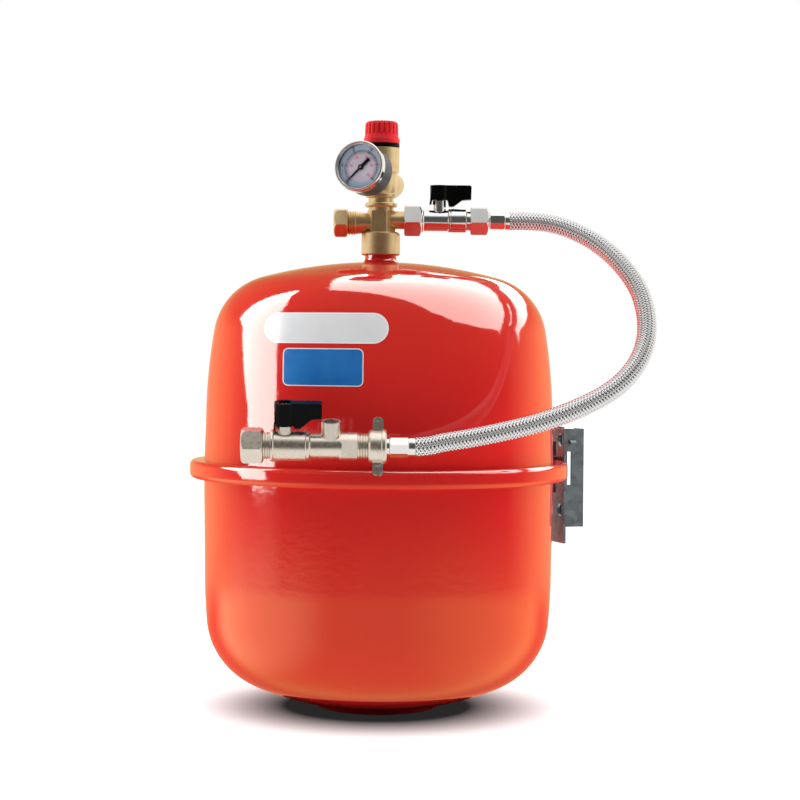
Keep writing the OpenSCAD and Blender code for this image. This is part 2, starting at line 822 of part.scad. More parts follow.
module gauge_case() {
    color("dimgray") at_gauge() difference() {
        union() {
            translate([0, 0, -25]) cylinder(r = gauge_r - 0.6, h = 2);
            translate([0, 0, -24]) cylinder(r = gauge_r, h = 20);
        }
        translate([0, 0, -24]) cylinder(r = gauge_r - 1, h = 25);
        translate([0, 0, -26]) cylinder(r = 4, h = 5);
    }
}
module gauge_bezel() {
    seat = gauge_r + e;
    color(NICKEL) at_gauge() translate([0, 0, -6.5]) rotate_extrude() polygon([
        [seat, 0], [gauge_r + 0.9, 0.4], [gauge_r + 0.9, 5.4], [gauge_r + 0.2, 6.5],
        [gauge_r - 1.2, 6.5], [gauge_r - 1.8, 5.2], [gauge_r - 1.8, 4.3], [seat, 4.3]
    ]);
}
module gauge_glass() {
    color("aliceblue", 0.4) at_gauge() translate([0, 0, -3.5]) cylinder(r = gauge_r - 0.1, h = 1.2);
}
module gauge_dial() {
    color("white") at_gauge() difference() {
        translate([0, 0, -7.5]) cylinder(r = gauge_r - 1.05, h = 0.7);
        translate([0, 0, -8]) cylinder(r = 1.1, h = 2);
    }
}
module gauge_needle() {
    color("black") at_gauge() {
        translate([0, 0, -12]) cylinder(r = 0.7, h = 7.4);
        translate([0, 0, -6]) cylinder(r = 1.7, h = 1.4);
        rotate([0, 0, 225]) translate([0, 0, -5.7]) linear_extrude(height = 0.7) polygon([
            [-9.5, -0.9], [-8.5, -1.3], [-1.5, -1], [0, -1], [13.5, -0.15], [13.5, 0.15], [0, 1],
            [-1.5, 1], [-8.5, 1.3], [-9.5, 0.9]
        ]);
    }
}
module gauge_movement() {
    color(BRASS) at_gauge() {
        translate([0, 0, -15]) rotate_extrude(angle = 250) translate([13, 0]) circle(r = 1.8, $fn = 24);
        translate([-5, -14.5, -16.5]) cube([10, 4, 3]);
        difference() {
            translate([-6, -12, -14.5]) cube([12, 17, 1.2]);
            translate([0, 0, -15]) cylinder(r = 1.1, h = 3);
        }
    }
}
module gauge_stem() {
    color(BRASS) at_gauge() difference() {
        union() {
            translate([0, 0, -32]) cylinder(r = 6.5 / cos(30), h = 7, $fn = 6);
            translate([0, 0, -40]) cylinder(r = 4.85, h = 9);
            translate([0, 0, -26]) cylinder(r = 3.9, h = 8);
            translate([-3.5, -13, -22]) cube([7, 14, 5]);
        }
        translate([0, 0, -41]) cylinder(r = 1.5, h = 20);
    }
}

/* ---- wall bracket, in a frame with +X away from the vessel and the seam at height 0 ---- */

bracket_low = -59;
bracket_high = 31;
leg_low = -46;
gap = 0.3;                       // between the rim and the web
hole_y = web_w / 2 - 7;
hole_z = [22, -33];
lip_w = 14;

module at_bracket() {
    rotate([0, 0, bracket_turn]) translate([rim_r + gap, 0, seam_z]) children();
}

module wall_bracket() {
    half = web_w / 2;
    tall = bracket_high - bracket_low;
    window = [8.2, 20];
    tongue_w = 20;
    color("slategray") at_bracket() difference() {
        union() {
            translate([0, -half, bracket_low]) cube([plate, web_w, tall]);
            for (side = [0, 1]) mirror([0, side, 0]) {
                translate([0, -half, leg_low]) cube([leg_depth, plate, bracket_high - leg_low]);
                translate([leg_depth - plate, -half, leg_low]) cube([plate, lip_w, bracket_high - leg_low]);
                translate([plate + 2.4, -half + 0.3, 19]) curl();
            }
            for (side = [0, 1]) mirror([0, 0, side])
                translate([-10.8, -tongue_w / 2, rim_h / 2 + 0.1]) cube([11, tongue_w, 1.5]);
        }
        for (side = [0, 1]) mirror([0, 0, side])
            translate([-1, -tongue_w / 2, window[0] + 0.2])
                cube([plate + 2, tongue_w, window[1] - window[0]]);
        for (y = [-hole_y, hole_y], z = hole_z) translate([0, y, z]) {
            rod(-1, plate + 1, 5);
            rod(leg_depth - plate - 1, leg_depth + 1, screw_r);
        }
        for (side = [0, 1]) mirror([0, side, 0])
            translate([plate + 0.8, -half - 1, -13]) cube([3.6, plate + 2, 26]);
    }
}

// Strip curled out of a bracket leg, a hook for the retaining band
module curl() {
    rotate([90, 0, 90]) linear_extrude(height = 5) difference() {
        circle(r = 3.4);
        circle(r = 2);
        translate([-4, -4]) square([8, 4]);
    }
}

upper_shell();
lower_shell();
clamp_ring();
diaphragm();
neck_boss();
neck_gasket();
air_valve_stem();
air_valve_core();
air_valve_cap();
label_pill();
label_panel();
manifold_body();
left_nut();
left_olive();
right_union_nut();
fibre_washers();
upper_valve_body();
upper_valve_end();
upper_valve_seats();
upper_ball();
upper_stem();
upper_lever();
upper_lever_screw();
hose_swivel_nut();
hose_tail_upper();
hose_ferrule_upper();
hose_braid();
hose_ferrule_lower();
hose_tail_lower();
wing_nut();
lower_valve_body();
lower_valve_seats();
lower_ball();
lower_stem();
lower_lever();
lower_lever_screw();
lower_nut();
lower_olive();
check_cartridges();
check_poppet(check_x[0]);  // check_poppet_1
check_poppet(check_x[1]);  // check_poppet_2
check_spring(check_x[0]);  // check_spring_1
check_spring(check_x[1]);  // check_spring_2
safety_body();
safety_collar();
safety_cap();
safety_spindle();
safety_disc();
safety_spring();
gauge_case();
gauge_bezel();
gauge_glass();
gauge_dial();
gauge_needle();
gauge_movement();
gauge_stem();
wall_bracket();
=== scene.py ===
"""Expansion vessel with its gauge, valves, filling hose and wall bracket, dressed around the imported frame."""

import json
import math

import bmesh
import bpy
from mathutils import Matrix, Vector

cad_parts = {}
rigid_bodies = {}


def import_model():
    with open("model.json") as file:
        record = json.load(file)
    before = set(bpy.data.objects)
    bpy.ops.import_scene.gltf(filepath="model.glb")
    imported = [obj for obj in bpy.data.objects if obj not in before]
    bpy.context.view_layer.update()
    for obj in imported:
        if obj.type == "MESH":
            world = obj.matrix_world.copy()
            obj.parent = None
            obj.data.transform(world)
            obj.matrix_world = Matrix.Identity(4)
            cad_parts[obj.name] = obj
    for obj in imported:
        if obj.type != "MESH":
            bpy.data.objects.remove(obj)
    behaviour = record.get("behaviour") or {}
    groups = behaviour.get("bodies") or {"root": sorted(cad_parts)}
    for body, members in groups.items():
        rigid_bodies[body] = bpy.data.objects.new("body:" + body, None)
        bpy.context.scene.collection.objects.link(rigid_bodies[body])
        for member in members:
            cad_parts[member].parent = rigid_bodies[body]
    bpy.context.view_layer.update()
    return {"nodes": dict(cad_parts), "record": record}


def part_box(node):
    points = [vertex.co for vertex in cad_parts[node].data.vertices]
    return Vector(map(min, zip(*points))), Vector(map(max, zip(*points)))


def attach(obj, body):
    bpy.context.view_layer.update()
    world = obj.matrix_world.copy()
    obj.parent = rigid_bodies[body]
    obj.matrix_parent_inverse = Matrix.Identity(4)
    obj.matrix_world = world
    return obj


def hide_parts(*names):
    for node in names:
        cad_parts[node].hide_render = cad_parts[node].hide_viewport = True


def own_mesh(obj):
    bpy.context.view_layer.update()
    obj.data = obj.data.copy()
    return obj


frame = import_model()
nodes = frame["nodes"]
scene = bpy.context.scene
MM = 0.001

# ---------------------------------------------------------------- camera

EYE = Vector((0.0, -1.6, 0.275))
ROLL = math.radians(0.5)

camera_data = bpy.data.cameras.new("camera")
camera_data.lens = 93.4
camera_data.sensor_width = 36.0
camera_data.shift_x = 0.0252
camera_data.shift_y = -0.065
camera_data.dof.use_dof = False
camera = bpy.data.objects.new("camera", camera_data)
upright = Matrix.Rotation(math.radians(90), 4, "X")
camera.matrix_world = Matrix.Translation(EYE) @ upright @ Matrix.Rotation(ROLL, 4, "Z")
scene.collection.objects.link(camera)
scene.camera = camera
scene.view_settings.view_transform = "Standard"

# ---------------------------------------------------------------- shader helpers


class Finish:
    """A Principled material with short calls for the textures that drive it."""

    def __init__(self, name, base, metallic=0.0, roughness=0.4, **constants):
        self.material = bpy.data.materials.new(name)
        self.material.use_nodes = True
        self.tree = self.material.node_tree
        self.shader = self.tree.nodes["Principled BSDF"]
        self.set(self.shader, "Base Color", (*base, 1.0))
        self.set(self.shader, "Metallic", metallic)
        self.set(self.shader, "Roughness", roughness)
        for socket, value in constants.items():
            self.set(self.shader, socket.replace("_", " "), value)
        self.place = self.node("ShaderNodeTexCoord").outputs["Object"]
        self.normal = None

    def node(self, kind, **properties):
        made = self.tree.nodes.new(kind)
        for key, value in properties.items():
            setattr(made, key, value)
        return made

    def set(self, node, socket, value):
        """Sets a socket to a constant, or links it to another node's output."""
        target = node.inputs[socket]
        if isinstance(value, bpy.types.NodeSocket):
            self.tree.links.new(value, target)
        else:
            target.default_value = value

    def stretched(self, scale):
        """The object's own coordinates in metres, times a scale along each axis."""
        mapping = self.node("ShaderNodeMapping")
        self.set(mapping, "Vector", self.place)
        self.set(mapping, "Scale", scale)
        return mapping.outputs["Vector"]

    def noise(self, scale, detail=2.0, rough=0.5, stretch=None):
        texture = self.node("ShaderNodeTexNoise")
        self.set(texture, "Vector", self.stretched(stretch) if stretch else self.place)
        self.set(texture, "Scale", scale)
        self.set(texture, "Detail", detail)
        self.set(texture, "Roughness", rough)
        return texture.outputs["Fac"]

    def cells(self, scale):
        """Crystal-like cells, each with its own random colour."""
        texture = self.node("ShaderNodeTexVoronoi", feature="F1")
        self.set(texture, "Vector", self.place)
        self.set(texture, "Scale", scale)
        return texture

    def spread(self, value, low, high, start=0.3, end=0.7):
        """Maps a texture's middle range onto low..high."""
        remap = self.node("ShaderNodeMapRange")
        for socket, number in (("From Min", start), ("From Max", end), ("To Min", low), ("To Max", high)):
            self.set(remap, socket, number)
        self.set(remap, "Value", value)
        return remap.outputs["Result"]

    def blend(self, amount, first, second):
        mix = self.node("ShaderNodeMix", data_type="RGBA")
        self.set(mix, 0, amount)
        for index, colour in ((6, first), (7, second)):
            value = colour if isinstance(colour, bpy.types.NodeSocket) else (*colour, 1.0)
            self.set(mix, index, value)
        return mix.outputs[2]

    def colour(self, value):
        self.set(self.shader, "Base Color", value)

    def gloss(self, value):
        self.set(self.shader, "Roughness", value)

    def bump(self, height, depth, strength=1.0):
        """Adds one layer of relief, depth in metres, over those before it."""
        layer = self.node("ShaderNodeBump")
        self.set(layer, "Strength", strength)
        self.set(layer, "Distance", depth)
        self.set(layer, "Height", height)
        if self.normal is not None:
            self.set(layer, "Normal", self.normal)
        self.normal = layer.outputs["Normal"]
        self.set(self.shader, "Normal", self.normal)


def paint_finish():
    """Glossy orange-red powder coat with a fine orange peel."""
    f = Finish("red_powder_coat", (0.62, 0.018, 0.016), roughness=0.06, Specular_IOR_Level=0.5)
    f.colour(f.blend(f.spread(f.noise(9.0, 3.0), 0.0, 1.0), (0.62, 0.017, 0.016), (0.60, 0.020, 0.017)))
    f.gloss(f.spread(f.noise(260.0, 4.0), 0.05, 0.09))
    f.bump(f.noise(190.0, 2.0, 0.5), 0.00020, 0.20)
    f.bump(f.noise(700.0, 1.0, 0.5), 0.00003, 0.20)
    return f.material


def brass_finish(name, base, dull, rough):
    """Brass with faint turning marks, casting grain and tarnish."""
    f = Finish(name, base, metallic=1.0, roughness=rough)
    tarnish = f.spread(f.noise(120.0, 4.0, 0.6), 0.0, 0.5, 0.4, 0.8)
    f.colour(f.blend(tarnish, base, dull))
    f.gloss(f.spread(f.noise(420.0, 4.0, 0.6), rough - 0.05, rough + 0.07))
    f.bump(f.noise(1500.0, 2.0, 0.6), 0.00002, 0.25)
    f.bump(f.noise(400.0, 1.0, 0.5, (0.2, 0.2, 9.0)), 0.00001, 0.15)
    return f.material


def plated_finish(name, base, rough, grain):
    """Nickel plate: bright, with a faint warm cloud and the ground surface under it."""
    f = Finish(name, base, metallic=1.0, roughness=rough)
    warm = tuple(c * k for c, k in zip(base, (0.93, 0.89, 0.82)))
    f.colour(f.blend(f.spread(f.noise(90.0, 4.0, 0.6), 0.0, 0.7), base, warm))
    f.gloss(f.spread(f.noise(380.0, 4.0, 0.6), rough * 0.8, rough * 1.25))
    f.bump(f.noise(1300.0, 2.0, 0.6), grain, 0.25)
    f.bump(f.noise(260.0, 2.0, 0.5), grain * 1.5, 0.12)
    return f.material


def moulded_finish(name, base, rough, grain=0.00004, shine=0.5):
    """Moulded plastic with a fine spark-eroded texture."""
    f = Finish(name, base, roughness=rough, Specular_IOR_Level=shine)
    worn = tuple(min(1.0, c * 1.35 + 0.001) for c in base)
    f.colour(f.blend(f.spread(f.noise(150.0, 4.0, 0.6), 0.0, 0.6), base, worn))
    f.gloss(f.spread(f.noise(600.0, 3.0), rough - 0.06, rough + 0.08))
    f.bump(f.noise(2300.0, 2.0, 0.5), grain, 0.4)
    return f.material


def zinc_finish():
    """Galvanised sheet: blue-grey spangle, each crystal with its own shade and gloss."""
    f = Finish("galvanised_sheet", (0.52, 0.56, 0.60), metallic=1.0, roughness=0.36)
    crystals = f.cells(230.0)
    shade = f.node("ShaderNodeSeparateColor")
    f.set(shade, "Color", crystals.outputs["Color"])
    f.colour(f.blend(shade.outputs["Red"], (0.27, 0.32, 0.35), (0.36, 0.41, 0.45)))
    f.gloss(f.spread(shade.outputs["Green"], 0.26, 0.46, 0.0, 1.0))
    f.bump(f.noise(900.0, 3.0, 0.6), 0.00004, 0.4)
    return f.material


def film_finish(name, base, tint):
    """Printed film: smooth, with a slight cloud in the ink and fine surface ripple."""
    f = Finish(name, base, roughness=0.16)
    f.colour(f.blend(f.spread(f.noise(60.0, 3.0), 0.0, 1.0), base, tint))
    f.gloss(f.spread(f.noise(300.0, 3.0), 0.12, 0.22))
    f.bump(f.noise(220.0, 2.0), 0.0001, 0.25)
    return f.material


def wire_finish(name, base, rough):
    """Drawn stainless wire, drawn lines running all ways at this scale."""
    f = Finish(name, base, metallic=1.0, roughness=rough)
    dark = tuple(c * 0.72 for c in base)
    f.colour(f.blend(f.spread(f.noise(800.0, 3.0, 0.6), 0.0, 0.8), base, dark))
    f.gloss(f.spread(f.noise(1500.0, 2.0), rough * 0.7, rough * 1.4))
    f.bump(f.noise(3500.0, 2.0), 0.00002, 0.5)
    return f.material


def lens_finish():
    """Clear gauge window, with faint smears in its gloss."""
    clear = (0.96, 0.98, 1.0)
    f = Finish("gauge_window", clear, roughness=0.02, Transmission_Weight=1.0, IOR=1.45, Alpha=0.22)
    f.gloss(f.spread(f.noise(140.0, 4.0), 0.01, 0.05))
    return f.material


NICKEL = (0.80, 0.73, 0.65)
CHROME = (0.88, 0.88, 0.88)
BRASS = (0.85, 0.65, 0.35)
BLACK = (0.0012, 0.0018, 0.0014)

finishes = {
    "red_paint": paint_finish(),
    "brass": brass_finish("cast_brass", BRASS, (0.58, 0.41, 0.20), 0.38),
    "soft_brass": brass_finish("soft_brass", (0.80, 0.52, 0.34), (0.52, 0.30, 0.18), 0.42),
    "nickel": plated_finish("cast_nickel", NICKEL, 0.30, 0.00004),
    "chrome": plated_finish("bright_nickel", CHROME, 0.10, 0.00002),
    "stainless": wire_finish("braid_wire", (0.90, 0.90, 0.91), 0.14),
    "spring_steel": wire_finish("spring_wire", (0.60, 0.60, 0.62), 0.30),
    "galvanised": zinc_finish(),
    "black_plastic": moulded_finish("black_moulding", BLACK, 0.24, shine=0.08),
    "red_plastic": moulded_finish("red_moulding", (0.60, 0.012, 0.016), 0.42, shine=0.3),
    "white_plastic": moulded_finish("white_moulding", (0.82, 0.82, 0.79), 0.45),
    "case_metal": moulded_finish("gauge_case_paint", (0.045, 0.049, 0.052), 0.34, shine=0.2),
    "dial": film_finish("dial_enamel", (0.56, 0.66, 0.82), (0.62, 0.71, 0.85)),
    "white_print": film_finish("white_film", (0.84, 0.85, 0.86), (0.78, 0.79, 0.80)),
    "blue_print": film_finish("blue_film", (0.010, 0.130, 0.420), (0.015, 0.170, 0.480)),
    "lens": lens_finish(),
    "rubber": moulded_finish("black_rubber", (0.006, 0.006, 0.006), 0.6, 0.0001, 0.2),
    "fibre": moulded_finish("red_fibre", (0.34, 0.14, 0.07), 0.7, 0.0001),
}
dial_centre = film_finish("dial_inner_enamel", (0.76, 0.68, 0.80), (0.82, 0.74, 0.84))
ink_black = moulded_finish("black_ink", (0.012, 0.012, 0.014), 0.4)
ink_red = moulded_finish("red_ink", (0.70, 0.05, 0.07), 0.4)

# ---------------------------------------------------------------- mesh helpers

SHARP = math.radians(32)


def mark_sharp(mesh, angle):
    """Smooth shading, broken where two faces meet at more than the angle."""
    work = bmesh.new()
    work.from_mesh(mesh)
    for face in work.faces:
        face.smooth = True
    for edge in work.edges:
        edge.smooth = len(edge.link_faces) == 2 and edge.calc_face_angle(0.0) < angle
    work.to_mesh(mesh)
    work.free()


def piece(name, parts, body, materials, replaces=(), angle=SHARP, weld=1e-7):
    """One object from a list of (vertices, faces, material index), riding on a body."""
    verts, faces, index = [], [], []
    for part_verts, part_faces, number in parts:
        start = len(verts)
        verts.extend(part_verts)
        faces.extend([tuple(start + i for i in face) for face in part_faces])
        index.extend([number] * len(part_faces))
    mesh = bpy.data.meshes.new(name)
    mesh.from_pydata([tuple(v) for v in verts], [], faces)
    mesh.polygons.foreach_set("material_index", index)
    for material in materials:
        mesh.materials.append(material)
    work = bmesh.new()
    work.from_mesh(mesh)
    if weld:
        bmesh.ops.remove_doubles(work, verts=work.verts, dist=weld)
    bmesh.ops.recalc_face_normals(work, faces=work.faces)
    work.to_mesh(mesh)
    work.free()
    mark_sharp(mesh, angle)
    made = bpy.data.objects.new(name, mesh)
    scene.collection.objects.link(made)
    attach(made, body)
    if replaces:
        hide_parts(*replaces)
    return made


def skin(rings, closed=False, number=0):
    """Faces through rings of equal length: closed on itself, or capped at both ends."""
    count = len(rings[0])
    verts = [point for ring in rings for point in ring]
    faces = []
    last = len(rings) if closed else len(rings) - 1
    for i in range(last):
        a, b = i * count, ((i + 1) % len(rings)) * count
        for k in range(count):
            n = (k + 1) % count
            faces.append((a + k, a + n, b + n, b + k))
    if not closed:
        faces.append(tuple(range(count - 1, -1, -1)))
        faces.append(tuple(range((len(rings) - 1) * count, len(rings) * count)))
    return verts, faces, number


def lathe(outline, matrix=Matrix.Identity(4), segments=96, number=0):
    """Revolves a closed outline of (radius, height) points about local Z."""
    rings = []
    for i in range(segments):
        a = 2 * math.pi * i / segments
        rings.append([matrix @ Vector((r * math.cos(a), r * math.sin(a), z)) for r, z in outline])
    return skin(rings, closed=True, number=number)


def rounded(outline, radius, steps=3):
    """Rounds the corners of a closed outline; radius is a number, or one for each point."""
    out = []
    count = len(outline)
    for i in range(count):
        here = Vector(outline[i])
        before, after = Vector(outline[i - 1]) - here, Vector(outline[(i + 1) % count]) - here
        r = radius[i] if isinstance(radius, (list, tuple)) else radius
        if r <= 0 or before.length < 1e-9 or after.length < 1e-9 or here.x < 1e-7:
            out.append(tuple(here))
            continue
        angle = before.angle(after)
        if angle > math.radians(168):
            out.append(tuple(here))
            continue
        back = min(r / math.tan(angle / 2), 0.45 * before.length, 0.45 * after.length)
        p0, p1 = here + before.normalized() * back, here + after.normalized() * back
        for s in range(steps + 1):
            t = s / steps
            out.append(tuple(p0 * (1 - t) ** 2 + here * 2 * t * (1 - t) + p1 * t**2))
    return out


def millimetres(points):
    return [(a * MM, b * MM) for a, b in points]


# ---------------------------------------------------------------- hose, at its real length

HOSE_ROUTE = [
    (0.0995, 0, 0.3735), (0.112, -0.0005, 0.3735), (0.126, -0.0015, 0.3725), (0.139, -0.0045, 0.3695),
    (0.152, -0.0095, 0.364), (0.165, -0.017, 0.356), (0.177, -0.0275, 0.345), (0.187, -0.040, 0.3315),
    (0.1935, -0.053, 0.3175), (0.196, -0.0665, 0.303), (0.1955, -0.0795, 0.289), (0.1915, -0.092, 0.2755),
    (0.184, -0.1035, 0.263), (0.1735, -0.1135, 0.252), (0.1605, -0.122, 0.243), (0.1455, -0.129, 0.2355),
    (0.128, -0.1355, 0.2285), (0.109, -0.141, 0.2225), (0.088, -0.146, 0.2175), (0.066, -0.150, 0.213),
    (0.045, -0.1535, 0.2095), (0.036, -0.155, 0.2075), (0.0255, -0.156, 0.2065),
]


def smooth_path(points, start, end, step):
    """Even steps along a smooth curve through the points, leaving and arriving in given directions."""
    points = [Vector(p) for p in points]
    slopes = []
    for i, point in enumerate(points):
        if i == 0:
            slopes.append(Vector(start) * (points[1] - point).length)
        elif i == len(points) - 1:
            slopes.append(Vector(end) * (point - points[-2]).length)
        else:
            slopes.append((points[i + 1] - points[i - 1]) / 2)
    fine = []
    pieces = 24
    for i in range(len(points) - 1):
        for k in range(pieces):
            t = k / pieces
            a = 2 * t**3 - 3 * t**2 + 1
            b = t**3 - 2 * t**2 + t
            c = -2 * t**3 + 3 * t**2
            d = t**3 - t**2
            fine.append(a * points[i] + b * slopes[i] + c * points[i + 1] + d * slopes[i + 1])
    fine.append(points[-1])
    lengths = [0.0]
    for a, b in zip(fine, fine[1:]):
        lengths.append(lengths[-1] + (b - a).length)
    count = round(lengths[-1] / step)
    out, j = [], 0
    for i in range(count + 1):
        want = lengths[-1] * i / count
        while j < len(fine) - 2 and lengths[j + 1] < want:
            j += 1
        t = (want - lengths[j]) / (lengths[j + 1] - lengths[j])
        out.append(fine[j].lerp(fine[j + 1], t))
    return out, lengths[-1]


def carried_frames(path):
    """A pair of cross vectors at each point of a path, carried along without twist."""
    tangents = []
    for i in range(len(path)):
        ahead, behind = path[min(i + 1, len(path) - 1)], path[max(i - 1, 0)]
        tangents.append((ahead - behind).normalized())
    side = tangents[0].cross(Vector((0, 0, 1))).normalized()
    frames = []
    for tangent in tangents:
        side = (side - tangent * side.dot(tangent)).normalized()
        frames.append((side, tangent.cross(side)))
    return frames


def woven_hose():
    """Rubber hose in a plain weave of rounded strands, eight each way, one over and one under."""
    strands = 8
    turn_angle = math.radians(64)
    strand_w = 1.70 * MM
    mean_r = 6.62 * MM
    wave = 0.22 * MM
    liner_r, liner_sides, liner_stride = 6.05 * MM, 32, 4
    # places across a strand, in strand widths, and heights there in mm
    section = [(-0.5, -0.26), (-0.28, 0.16), (0.0, 0.34), (0.28, 0.16), (0.5, -0.26), (0.0, -0.30)]
    crossing = 2 * math.pi * mean_r / strands / (2 * math.tan(turn_angle))
    path, length = smooth_path(HOSE_ROUTE, (1, 0, 0), (-1, 0, 0), crossing / 3)
    frames = carried_frames(path)
    step = length / (len(path) - 1)
    slant = strand_w / math.cos(turn_angle) / mean_r
    parts = []
    for way in (1, -1):
        for strand in range(strands):
            rings = []
            for i, (point, (u, v)) in enumerate(zip(path, frames)):
                along = i * step
                angle = 2 * math.pi * strand / strands + way * along * math.tan(turn_angle) / mean_r
                lift = way * wave * math.cos(math.pi * along / crossing)
                ring = []
                for offset, height in section:
                    a = angle + offset * slant
                    r = mean_r + lift + height * MM
                    ring.append(point + (u * math.cos(a) + v * math.sin(a)) * r)
                rings.append(ring)
            parts.append(skin(rings, number=0))
    liner = []
    turns = [2 * math.pi * k / liner_sides for k in range(liner_sides)]
    for point, (u, v) in list(zip(path, frames))[::liner_stride] + [(path[-1], frames[-1])]:
        liner.append([point + (u * math.cos(a) + v * math.sin(a)) * liner_r for a in turns])
    parts.append(skin(liner, number=1))
    materials = [finishes["stainless"], finishes["rubber"]]
    crease = math.radians(75)
    hose = piece("braided_hose", parts, "vessel", materials, ("hose_braid",), crease, 0)
    return hose, path, length


hose, hose_path, hose_length = woven_hose()

# ---------------------------------------------------------------- vessel

BODY_R, WALL, SEAM_Z, UPPER_H = 0.133, 0.0015, 0.182, 0.159
BEAD = 0.00325
FLANGE_R = 0.1429
# wall arc, height of its upright point over the seam, knuckle, crown, height of the head
UPPER_HEAD = (0.420, 0.037, 0.050, 0.344, UPPER_H)
LOWER_HEAD = (0.460, 0.075, 0.057, 0.251, SEAM_Z + 0.001)
NECK_R, NECK_FILLET = 0.012, 0.0032
FOOT_BLEND = 0.010
FOOT_R, FOOT_FLAT, FOOT_ROUND, DISH_Z, STEM_HOLE = 0.042, 0.004, 0.005, 0.024, 0.0061


def arc(centre, radius, start, end, count):
    """Points on an arc, angles in radians."""
    out = []
    for i in range(count + 1):
        a = start + (end - start) * i / count
        out.append((centre[0] + radius * math.cos(a), centre[1] + radius * math.sin(a)))
    return out


def head(dims, depth, inner, detail=1):
    """Half outline of a pressed head, heights from the seam, set in by depth."""
    wall_r, upright, knuckle_r, crown_r, height = dims
    a = Vector((BODY_R - wall_r, upright))
    b = Vector((0.0, height - crown_r))
    ra, rb = wall_r - knuckle_r, crown_r - knuckle_r
    span = (b - a).length
    u = (b - a) / span
    s = (ra**2 - rb**2 + span**2) / (2 * span)
    k = a + s * u + math.sqrt(ra**2 - s**2) * Vector((-u.y, u.x))
    a1 = math.atan2(k.y - a.y, k.x - a.x)
    a2 = math.atan2(k.y - b.y, k.x - b.x)
    out = [(BODY_R - depth, BEAD)]
    out += arc(a, wall_r - depth, 0, a1, 16 * detail)[1:]
    out += arc(k, knuckle_r - depth, a1, a2, 30 * detail)[1:]
    out += arc(b, crown_r - depth, a2, math.acos(inner / (crown_r - depth)), 28 * detail)[1:]
    return out


def shell_outline(outer, inner):
    """Closed outline of a head: its flange, then its outer face, then back along its inner face."""
    bend = BODY_R + 0.0012
    flange = [(FLANGE_R, BEAD), (FLANGE_R, BEAD + WALL), (bend, BEAD + WALL)]
    return flange + outer[1:] + inner[::-1]


def on_seam(outline, up):
    """Outline moved to the seam's height, pointing up (1) or down (-1)."""
    return [(r, SEAM_Z + z * up) for r, z in outline]


def shells():
    """Both pressed heads: the upper with its weld at the neck, the lower with its foot and recess."""
    outer = head(UPPER_HEAD, 0, NECK_R + NECK_FILLET)
    top = outer[-1][1]
    quarter = math.radians(90)
    # weld fillet rising to the neck
    middle = (NECK_R + NECK_FILLET, top + NECK_FILLET)
    fillet = arc(middle, NECK_FILLET, 3 * quarter, 2 * quarter, 8)[1:]
    inner = head(UPPER_HEAD, WALL, NECK_R)
    outline = on_seam(shell_outline(outer + fillet, inner), 1)
    paint = [finishes["red_paint"]]
    piece("upper_shell_skin", [lathe(outline, segments=256)], "vessel", paint, ("upper_shell",))

    far, near, low = FOOT_R + FOOT_FLAT / 2, FOOT_R - FOOT_FLAT / 2, SEAM_Z - FOOT_ROUND

    def foot(depth):
        points = arc((far, low), FOOT_ROUND - depth, math.radians(35), quarter, 8)
        points += arc((near, low), FOOT_ROUND - depth, quarter, 2 * quarter, 10)
        floor = SEAM_Z - DISH_Z - depth
        return points + [(near - FOOT_ROUND + depth, floor), (STEM_HOLE, floor)]

    outer = head(LOWER_HEAD, 0, FOOT_R + FOOT_BLEND) + foot(0)
    inner = head(LOWER_HEAD, WALL, FOOT_R + FOOT_BLEND) + foot(WALL)
    outline = on_seam(shell_outline(outer, inner), -1)
    piece("lower_shell_skin", [lathe(outline, segments=256)], "vessel", paint, ("lower_shell",))


def clamp_ring():
    """Rolled band over the seam: a flat face with rounded lips."""
    half, reach, corner = 0.00675, 0.145, 0.0035
    lip, bore = BEAD + WALL, BODY_R + 0.0002
    upper = [(bore, half)] + arc((reach - corner, half - corner), corner, math.pi / 2, 0, 10)
    lower = [(r, -z) for r, z in reversed(upper)]
    inside = [(bore, -lip), (FLANGE_R, -lip), (FLANGE_R, lip), (bore, lip)]
    outline = [(r, SEAM_Z + z) for r, z in upper + lower + inside]
    rings = [lathe(outline, segments=256)]
    piece("rolled_clamp_ring", rings, "vessel", [finishes["red_paint"]], ("clamp_ring",))


shells()
clamp_ring()

# ---------------------------------------------------------------- labels

UPPER_OUTER = head(UPPER_HEAD, 0, NECK_R + NECK_FILLET, 2)


def shell_radius(z):
    """Outer radius of the upper shell at a height above the floor."""
    for (r0, z0), (r1, z1) in zip(UPPER_OUTER, UPPER_OUTER[1:]):
        if z0 <= z - SEAM_Z <= z1:
            return r0 + (r1 - r0) * (z - SEAM_Z - z0) / (z1 - z0)
    return BODY_R


def patch(centre, half_w, half_height, low, high, number, columns=72, rows=14):
    """Film on the front of the shell: half_height(x) gives its outline, low and high its two faces."""
    def at(x, z, lift):
        r = shell_radius(z) + lift
        return Vector((x, -math.sqrt(r * r - x * x), z))

    rings = []
    for i in range(columns + 1):
        # columns crowd towards both ends, where the outline turns
        u = -math.cos(math.pi * i / columns) * half_w
        h = max(half_height(u), 0.00002)
        top = [at(centre[0] + u, centre[1] - h + 2 * h * k / rows, high) for k in range(rows + 1)]
        under = [at(centre[0] + u, centre[1] + h - 2 * h * k / rows, low) for k in range(rows + 1)]
        rings.append(top + under)
    return skin(rings, number=number)


def pill_height(half_w, radius):
    """Half height of a pill at a distance from its middle, as a function."""
    def height(u):
        past = abs(u) - (half_w - radius)
        return radius if past <= 0 else math.sqrt(max(radius**2 - past**2, 0.0))
    return height


def box_height(half_w, half_h, corner):
    """Half height of a rectangle with round corners, as a function."""
    def height(u):
        past = abs(u) - (half_w - corner)
        return half_h if past <= 0 else half_h - corner + math.sqrt(max(corner**2 - past**2, 0.0))
    return height


